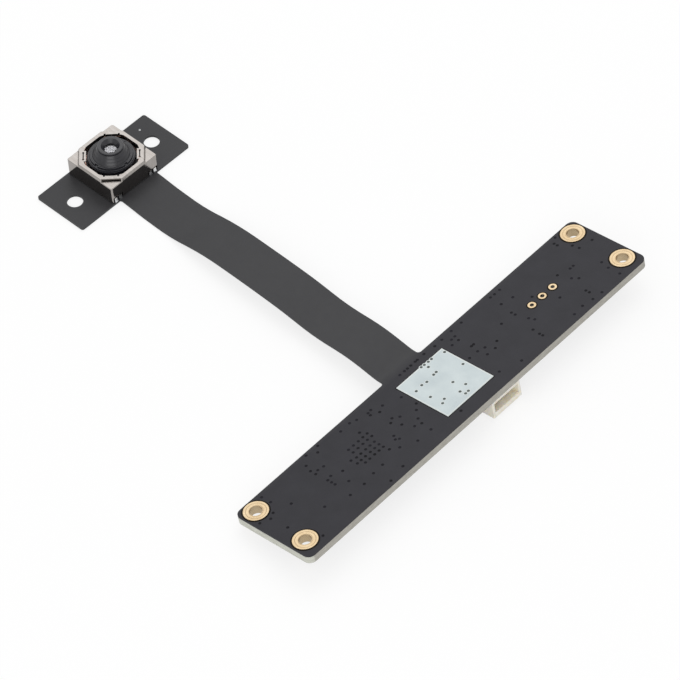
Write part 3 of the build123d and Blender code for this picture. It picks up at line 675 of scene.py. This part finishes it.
def is_free(x, y, room=0.3):
    """True where no soldered piece covers this place of the underside."""
    return not any(low.x - room < x < high.x + room and low.y - room < y < high.y + room
                   for boxes in under_boxes.values() for low, high in boxes)


# %% [markdown]
# ## Finishes for the fine pieces
# A plugged hole is covered by the same dark mask as the board, but it sits lower, and its mask
# is coloured darker as painted shade for its dimple. In the white field the print sinks into it;
# its grey-green is partly thin ink over the plug and partly painted shade. A track under the
# mask lies a little higher than the bare laminate and takes on the copper's warmth.

# %% Mask, print and seam finishes
# Painted shade: a darker mask than the board's, for the shade in each plug's dimple.
plug_mask_painted_shade = plain_finish("plug_mask_painted_shade", (0.002, 0.002, 0.003), (0.013, 0.012, 0.018), (0.4, 0.6), 7000.0, 2e-6,
                         patches=450.0, specular=0.1)
# Partly painted shade: the grey-green is thin print over a plug, darkened further for the shade in its
# dimple.
plug_print_and_shade = plain_finish("plug_print_and_shade", (0.035, 0.05, 0.045), (0.09, 0.115, 0.105), (0.4, 0.55), 7000.0, 3e-6)
halo_print = plain_finish("halo_print", (0.74, 0.79, 0.78), (0.8, 0.85, 0.84), (0.5, 0.65), 5000.0, 3e-6)
seam_brown = plain_finish("seam_brown", (0.005, 0.0032, 0.0016), (0.014, 0.009, 0.005), (0.4, 0.6), 6000.0,
                          2e-6, specular=0.08)
track_mask = plain_finish("track_mask", (0.026, 0.024, 0.024), (0.036, 0.032, 0.03), (0.3, 0.42), 6000.0,
                          3e-6, specular=0.35)
outline_print = plain_finish("outline_print", (0.5, 0.52, 0.52), (0.6, 0.62, 0.62), (0.5, 0.65), 6000.0, 4e-6)

# %% [markdown]
# ## Plugged holes
# The board is full of plugged holes, which carry current and heat from one face to the other.
# Each is a shallow dimple in a low rim. A circle could be pasted on as a dark dot, but a real
# rim catches the light from the side. So one hole is extruded, tapered and inset, and copied.

# %% Model one plugged hole
def plugged_hole(radius, rise, sink):
    """A low round rim with a dimple, twelve sided, its foot just below the surface."""
    bpy.ops.object.select_all(action="DESELECT")
    bpy.ops.mesh.primitive_circle_add(vertices=12, radius=radius * MM, fill_type="NGON",
                                      location=(0.0, 0.0, -0.004 * MM))
    model = bpy.context.active_object
    only(model)
    bpy.ops.object.transform_apply(location=True, rotation=True, scale=True)
    bpy.ops.object.mode_set(mode="EDIT")
    bpy.ops.mesh.select_all(action="SELECT")
    bpy.ops.mesh.extrude_region_move(TRANSFORM_OT_translate={"value": (0.0, 0.0, (rise + 0.004) * MM)})
    bpy.ops.transform.resize(value=(0.86, 0.86, 1.0), center_override=(0.0, 0.0, 0.0))
    bpy.ops.mesh.inset(thickness=radius * 0.3 * MM)
    bpy.ops.transform.translate(value=(0.0, 0.0, -sink * MM))
    close_piece(model)
    return model


FIELD = [(1.05, y) for y in (-16.0, -15.2, -14.3, -13.5, -12.7)]
FIELD += [(x, y) for x in (0.3, -0.5) for y in (-16.0, -15.2, -14.3, -13.5, -12.7)]
FIELD += [(x, y) for x in (-1.45, -2.25) for y in (-15.6, -14.7, -13.8, -12.95, -12.15)]
ROW = [(-5.85, y) for y in (-2.1, -1.25, -0.7, -0.05, 0.8, 1.2, 2.45)]
RIGHT_EDGE = [(5.2, -28.2), (5.85, -16.5), (5.4, -13.8), (4.95, -2.45), (4.35, 5.5), (5.4, 8.6), (5.5, 18.75),
              (5.35, 20.5), (5.65, 22.2), (5.8, 23.8), (5.45, 27.75)]
LEFT_EDGE = [(-5.65, 4.3), (-5.7, 5.7), (-5.75, 7.55), (-5.7, 9.45), (-5.65, 15.05), (-5.6, 15.8),
             (-5.6, 16.8),
             (-6.05, 28.25), (-5.3, -13.8), (-5.35, -12.1), (-5.0, -11.15), (-5.2, -18.15), (-6.05, -19.4),
             (-6.0, -17.3), (-5.7, -27.85), (-4.2, -27.8)]
NEAR_HALF = [(2.0, -24.5), (3.3, -21.2), (3.45, -18.8), (3.15, -16.8), (1.5, -19.55), (0.6, -29.7),
             (0.45, -20.95),
             (-0.15, -20.95), (-0.8, -20.95), (-1.0, -20.2), (-0.35, -18.7), (0.3, -16.7), (-0.7, -16.8),
             (-1.85, -26.5), (-2.2, -29.85), (-2.8, -31.2), (-2.65, -28.95), (-2.8, -21.05), (-3.05, -20.4),
             (-2.9, -19.5), (-3.7, -21.05), (-4.8, -20.7), (3.95, -9.45), (4.0, -7.05), (3.1, -15.05),
             (2.85, -11.6), (2.0, -12.6), (1.8, -10.5), (1.45, -10.9), (0.85, -10.55), (1.9, -7.8),
             (2.3, -6.9),
             (1.35, -6.55), (0.35, -8.5), (0.15, -5.55), (-0.65, -4.7), (-0.8, -7.6), (-1.0, -9.1),
             (-1.45, -8.4), (-3.15, -12.6), (-3.0, -4.95), (-3.5, -8.45), (-4.0, -7.4), (-4.1, -9.55),
             (-4.6, -9.45), (-4.7, -8.85)]
FAR_HALF = [(4.65, 13.55), (4.1, 13.55), (2.9, 13.65), (1.85, 15.2), (1.05, 14.9), (1.0, 7.0), (1.1, 8.4),
            (0.4, 9.5), (-0.1, 7.75), (-0.45, 5.2), (-0.4, 6.7), (-1.2, 12.2), (-0.85, 14.45), (-1.5, 14.45),
            (-1.7, 6.95), (-1.7, 7.35), (-3.85, 6.85), (-3.9, 5.7), (-4.65, 6.4), (-4.7, 7.1), (-3.65, 14.9),
            (4.45, 22.9), (3.85, 22.9), (3.5, 27.75), (2.1, 28.05), (1.9, 20.05), (1.6, 24.15), (0.8, 23.6),
            (-0.55, 24.9), (-0.55, 25.5), (-1.1, 23.0), (-1.2, 18.15), (-1.7, 30.6), (-2.1, 28.5),
            (-3.15, 28.35), (-3.25, 16.7), (-4.85, 27.3), (-5.4, 27.3)]
IN_PRINT = [(2.15, -2.8), (1.8, -2.1), (0.1, -2.85), (-2.1, -3.1), (-2.25, -1.9), (-2.1, -1.1), (3.4, 0.15),
            (3.4, 0.7), (2.6, 0.0), (2.3, 1.4), (0.7, 0.75), (-0.4, 3.9), (-2.25, 0.35), (-2.3, 0.9),
            (-3.75, 1.0), (-3.85, 4.2), (-4.5, 0.45), (-4.45, 1.0), (-4.4, 1.7), (-4.4, 2.3)]
ON_MASK = FIELD + ROW + RIGHT_EDGE + LEFT_EDGE + NEAR_HALF + FAR_HALF
print("plugged holes:", len(ON_MASK), "in the mask,", len(IN_PRINT), "in the print")

# %% Lay the plugged holes on both faces
lay_copies(plugged_hole(0.22, 0.012, 0.009), "top_plugs", [top_place(x, y) for x, y in ON_MASK], plug_mask_painted_shade)
open_spots = [(x, y) for x, y in ON_MASK + IN_PRINT if is_free(x, y)]
lay_copies(plugged_hole(0.17, 0.012, 0.009), "under_plugs", [under_place(x, y) for x, y in open_spots],
           plug_mask_painted_shade)
PRINT_TOP = 0.03
lay_copies(plugged_hole(0.22, 0.013, 0.005), "print_plugs", [top_place(x, y, PRINT_TOP) for x, y in IN_PRINT],
           plug_print_and_shade)


# %% [markdown]
# ## Rings and frames
# The mask stops a little way outside each gold ring, so a narrow dark seam of bare laminate
# shows round it. The white field has a thicker rim where the ink dried, and fine printed
# frames stand round the packages below. All are a flat outline, inset, emptied and raised.

# %% Model a flat ring and a flat frame
def raise_outline(piece, width, rise):
    """Turn a flat filled outline into a thin raised ring or frame of the given width."""
    only(piece)
    bpy.ops.object.transform_apply(location=True, rotation=True, scale=True)
    bpy.ops.object.mode_set(mode="EDIT")
    bpy.ops.mesh.select_all(action="SELECT")
    bpy.ops.mesh.inset(thickness=width * MM)
    bpy.ops.mesh.delete(type="FACE")
    bpy.ops.mesh.select_all(action="SELECT")
    bpy.ops.mesh.extrude_region_move(TRANSFORM_OT_translate={"value": (0.0, 0.0, rise * MM)})
    close_piece(piece)
    return piece


def flat_ring(radius, width, rise):
    """A thin raised ring, its foot a little below the surface."""
    bpy.ops.object.select_all(action="DESELECT")
    bpy.ops.mesh.primitive_circle_add(vertices=48, radius=radius * MM, fill_type="NGON",
                                      location=(0.0, 0.0, -0.003 * MM))
    return raise_outline(bpy.context.active_object, width, rise + 0.003)


def flat_frame(length_x, length_y, width, rise):
    """A thin raised rectangular frame, its foot a little below the surface."""
    bpy.ops.object.select_all(action="DESELECT")
    bpy.ops.mesh.primitive_plane_add(size=MM, location=(0.0, 0.0, -0.003 * MM))
    plate = bpy.context.active_object
    plate.scale = (length_x, length_y, 1.0)
    return raise_outline(plate, width, rise + 0.003)


hole_spots = [(HOLES_X + side * HOLE_HALF_X, HOLES_Y + end * hole_half_y)
              for side in (-1, 1) for end in (-1, 1)]
pad_boxes = solid_boxes("test_pads")
pad_spots = [((low.x + high.x) / 2, (low.y + high.y) / 2) for low, high in pad_boxes]
print("pads at", [(round(x, 2), round(y, 2)) for x, y in pad_spots])
lay_copies(flat_ring(1.87, 0.225, 0.006), "ring_seams", [top_place(x, y) for x, y in hole_spots], seam_brown)
lay_copies(flat_ring(1.87, 0.225, 0.006), "under_ring_seams", [under_place(x, y) for x, y in hole_spots],
           seam_brown)
lay_copies(flat_ring(0.74, 0.185, 0.006), "pad_seams", [top_place(x, y) for x, y in pad_spots], seam_brown)
low, high = solid_boxes("label_patch")[0]
patch_x, patch_y = (low.x + high.x) / 2, (low.y + high.y) / 2
patch_size = high - low
lay_copies(flat_frame(patch_size.x, patch_size.y, 0.2, 0.004), "print_rim",
           [top_place(patch_x, patch_y, PRINT_TOP)], halo_print)
lay_copies(flat_frame(patch_size.x + 0.24, patch_size.y + 0.24, 0.115, 0.005), "print_seam",
           [top_place(patch_x, patch_y)], seam_brown)
lay_copies(flat_ring(0.3, 0.1, 0.003), "print_halos", [top_place(x, y, PRINT_TOP) for x, y in IN_PRINT],
           halo_print)

# %% Printed frames below
for name, room_x, room_y in (("bridge_chip", 0.7, 0.7), ("flash_chip", 1.1, 0.3),
                             ("crystal", 0.55, 0.55), ("power_inductor", 0.55, 0.55)):
    low, high = under_boxes[name][0]
    wide = high.x - low.x + 2 * room_x
    tall = high.y - low.y + 2 * room_y
    lay_copies(flat_frame(wide, tall, 0.12, 0.008), name + "_frame",
               [under_place((low.x + high.x) / 2, (low.y + high.y) / 2)], outline_print)

# %% [markdown]
# ## Solder fillets
# Molten solder climbs the end of a terminal and runs out on the pad in a hollow curve. One
# fillet is extruded outwards in steps, each lower than the last. It stands on the outer side
# of each terminal, which is the side away from the middle of its chip.

# %% Model one fillet and stand it at each terminal
def solder_fillet():
    """A hollow ramp one unit high, wide and long, along +X from the terminal's face."""
    bpy.ops.object.select_all(action="DESELECT")
    bpy.ops.mesh.primitive_plane_add(size=1.0, rotation=(0.0, math.pi / 2, 0.0), location=(-0.05, 0.0, 0.5))
    model = bpy.context.active_object
    only(model)
    bpy.ops.object.transform_apply(location=True, rotation=True, scale=True)
    bpy.ops.object.mode_set(mode="EDIT")
    bpy.ops.mesh.select_all(action="SELECT")
    for step, lower, wider in ((0.3, 0.62, 1.04), (0.3, 0.5, 1.04), (0.4, 0.22, 1.02)):
        bpy.ops.mesh.extrude_region_move(TRANSFORM_OT_translate={"value": (step, 0.0, 0.0)})
        bpy.ops.transform.resize(value=(1.0, wider, lower), center_override=(0.0, 0.0, 0.0))
    close_piece(model)
    return model


def fillet_places(terminals, bodies, length, share):
    """One place per terminal: turned away from the nearest body's middle, sized to the terminal."""
    places = []
    for low, high in terminals:
        spot = (low + high) / 2
        home = min(((a + b) / 2 for a, b in bodies), key=lambda middle: (middle - spot).length)
        away = spot - home
        along_x = abs(away.x) > abs(away.y)
        sign = 1.0 if (away.x if along_x else away.y) > 0 else -1.0
        face_x = (high.x if sign > 0 else low.x) if along_x else spot.x
        face_y = spot.y if along_x else (high.y if sign > 0 else low.y)
        width = (high.y - low.y) if along_x else (high.x - low.x)
        turn = math.atan2(0.0 if along_x else -sign, sign if along_x else 0.0)
        size = Matrix.Diagonal((length * MM, width * 0.96 * MM, (high.z - low.z) * share * MM, 1.0))
        places.append(under_place(face_x, face_y, 0.0, turn) @ size)
    return places


chip_bodies = under_boxes["chip_capacitors"] + under_boxes["chip_resistors"]
places = fillet_places(under_boxes["chip_terminals"], chip_bodies, 0.2, 0.7)
places += fillet_places(under_boxes["flash_leads"], under_boxes["flash_chip"], 0.22, 0.3)
places += fillet_places(under_boxes["regulator_leads"], under_boxes["regulators"], 0.22, 0.35)
lay_copies(solder_fillet(), "solder_fillets", places, solder)

# %% [markdown]
# ## Tracks below
# On the underside the copper tracks show through the mask as low ridges that run straight,
# turn by 45 degrees and end at a plugged hole or a terminal. Each is a curve of a few straight
# runs with a thin bevel. It becomes a mesh and is then pressed flat, so that only a ridge
# stands above the board.

# %% Draw the tracks
TRACKS = [
    [(3.2, -21.69), (3.6, -21.69), (3.8, -20.9), (3.8, -19.4), (3.1, -18.7), (3.1, -17.6)],
    [(-2.4, -21.69), (-2.7, -21.4), (-2.8, -21.05), (-2.8, -19.2), (-1.9, -18.3), (-1.9, -17.6)],
    [(-2.4, -22.96), (-2.75, -22.96), (-2.95, -22.6)],
    [(3.2, -25.5), (3.75, -26.0), (3.75, -27.4), (2.9, -28.2)],
    [(-2.4, -25.5), (-2.8, -25.9), (-2.8, -27.2), (-2.1, -27.9), (-0.6, -27.9), (0.6, -29.1), (0.6, -29.7)],
    [(1.2, -10.6), (1.2, -9.5), (0.6, -8.0), (0.6, -6.4), (0.15, -5.55), (0.1, -5.1)],
    [(2.0, -10.6), (2.0, -9.6), (3.2, -8.4), (3.2, -6.2), (2.5, -5.5), (2.5, -1.2), (1.3, 0.0),
     (1.3, 2.0), (1.6, 2.5)],
    [(-0.8, -10.6), (-0.8, -9.9)],
    [(-3.9, -14.2), (-4.9, -14.2), (-5.3, -13.8), (-5.3, -12.9)],
    [(-3.9, -15.4), (-4.8, -15.4), (-5.2, -15.8), (-5.2, -16.7)],
    [(3.1, -15.4), (4.0, -15.4), (4.6, -16.0)],
    [(3.1, -13.6), (4.2, -13.6), (4.6, -13.2), (4.6, -12.7)],
    [(-2.3, 16.4), (-3.0, 16.4), (-3.8, 15.6)],
    [(-1.0, 16.9), (-1.0, 17.9), (0.2, 19.1), (0.2, 20.2), (0.5, 20.5)],
    [(1.5, 20.6), (2.6, 20.6), (3.85, 21.9), (3.85, 22.9)],
    [(5.25, 17.15), (5.5, 17.4), (5.5, 18.75), (5.35, 20.5), (5.65, 22.2), (5.8, 23.8), (5.45, 27.75)],
    [(1.95, 12.55), (1.3, 12.55), (0.3, 13.5), (-0.2, 13.6)],
    [(1.95, 10.65), (1.4, 10.1), (1.4, 9.3)],
    [(-0.3, 3.4), (-0.9, 3.4)],
    [(-4.9, -5.0), (-5.85, -4.0), (-5.85, -2.1)],
    [(-3.4, -6.6), (-3.4, -5.9), (-2.9, -5.4)],
    [(-5.4, 4.0), (-5.7, 4.3), (-5.7, 9.45), (-5.65, 15.05), (-5.6, 16.8), (-4.9, 17.6), (-4.2, 18.3)],
    [(-0.55, 25.5), (-0.55, 26.6), (-2.1, 28.1), (-3.15, 28.35)],
]
curve_data = bpy.data.curves.new("under_tracks", "CURVE")
curve_data.dimensions = "3D"
curve_data.bevel_depth = 0.07 * MM
curve_data.bevel_resolution = 0
for points in TRACKS:
    line = curve_data.splines.new("POLY")
    line.points.add(len(points) - 1)
    for point, (x, y) in zip(line.points, points):
        point.co = (x * MM, -y * MM, 0.0, 1.0)
tracks_piece = bpy.data.objects.new("under_tracks", curve_data)
scene.collection.objects.link(tracks_piece)
only(tracks_piece)
bpy.ops.object.convert(target="MESH")
tracks_piece = bpy.context.active_object
tracks_piece.data.transform(under_place(0.0, 0.0) @ Matrix.Diagonal((1.0, 1.0, 0.16, 1.0)))
give_finish(tracks_piece, "under_tracks", track_mask)
print("track faces:", len(tracks_piece.data.polygons))

# %% [markdown]
# ## Marks on the packages
# Moulded packages have a round pin mark in one corner, where the mould was pushed. It gets the
# same rim and dimple as a plugged hole, only wider, so the same function makes it.

# %% Pin marks
low, high = under_boxes["bridge_chip"][0]
bridge_mark = under_place(low.x + 0.9, high.y - 0.9, -THICK - low.z)
low, high = under_boxes["flash_chip"][0]
flash_mark = under_place(low.x + 0.75, high.y - 0.75, -THICK - low.z)
TAB_TOP = 0.35
lay_copies(plugged_hole(0.3, 0.006, 0.005), "package_marks", [bridge_mark, flash_mark], chip_resin)
tab_spot = Matrix.Translation((-2.7 * MM, 7.6 * MM, TAB_TOP * MM))
lay_copies(plugged_hole(0.17, 0.01, 0.006), "tab_dot", [tab_spot], outline_print)
